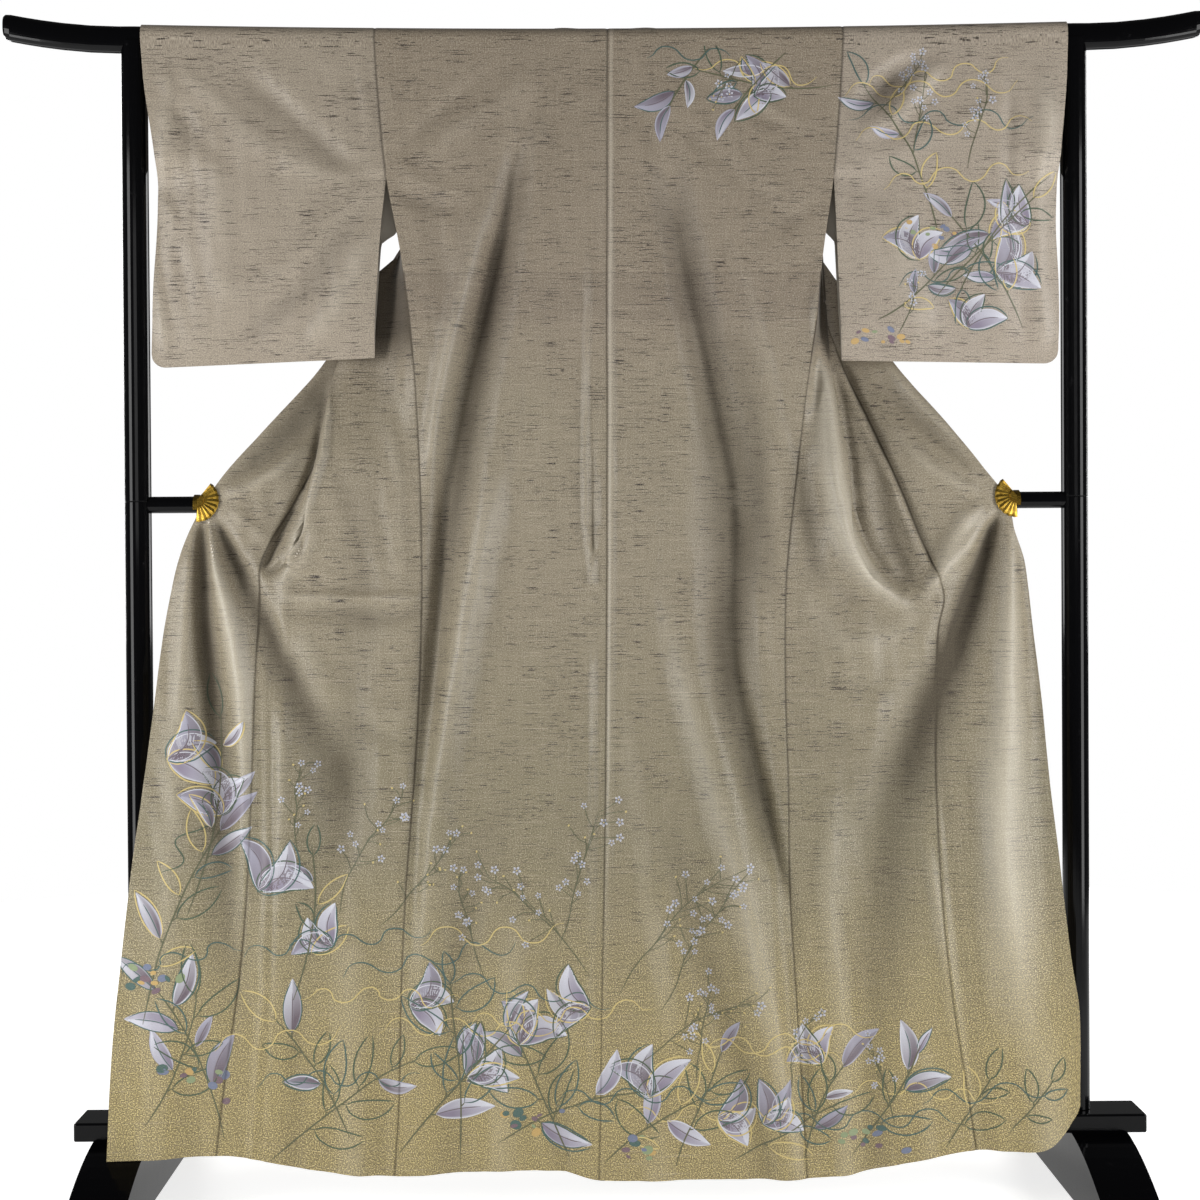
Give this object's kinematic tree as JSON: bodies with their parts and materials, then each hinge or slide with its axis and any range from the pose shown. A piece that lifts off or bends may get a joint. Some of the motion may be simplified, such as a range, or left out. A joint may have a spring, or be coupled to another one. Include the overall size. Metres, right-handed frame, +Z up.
{
  "type": "silk kimono on lacquered kimono stand",
  "caption": "Silk kimono hung open by its sleeves over the top bar of a floor-standing lacquered display stand, its fronts swung outwards and held to the crossbar by fan-shaped clips.",
  "frame": {"origin": "on the floor, below the middle of the stand", "axes": "+Z up, +X along the top bar, the kimono's back towards -Y"},
  "size_m": [1.728, 0.54, 1.7102],
  "materials": {
    "silk": "satin",
    "lacquer": "gloss",
    "gold": "satin"
  },
  "bodies": {
    "root": {"body_left": "silk", "body_right": "silk", "okumi_left": "silk", "okumi_right": "silk", "sleeve_left": "silk", "sleeve_right": "silk", "collar": "silk", "top_bar": "lacquer", "crossbar": "lacquer", "base_board": "lacquer", "foot_left": "lacquer", "foot_right": "lacquer", "post_left_lower": "lacquer", "post_left_upper": "lacquer", "post_right_lower": "lacquer", "post_right_upper": "lacquer", "clip_left_fan": "gold", "clip_left_jaw": "gold", "clip_right_fan": "gold", "clip_right_jaw": "gold"}
  },
  "joints": []
}
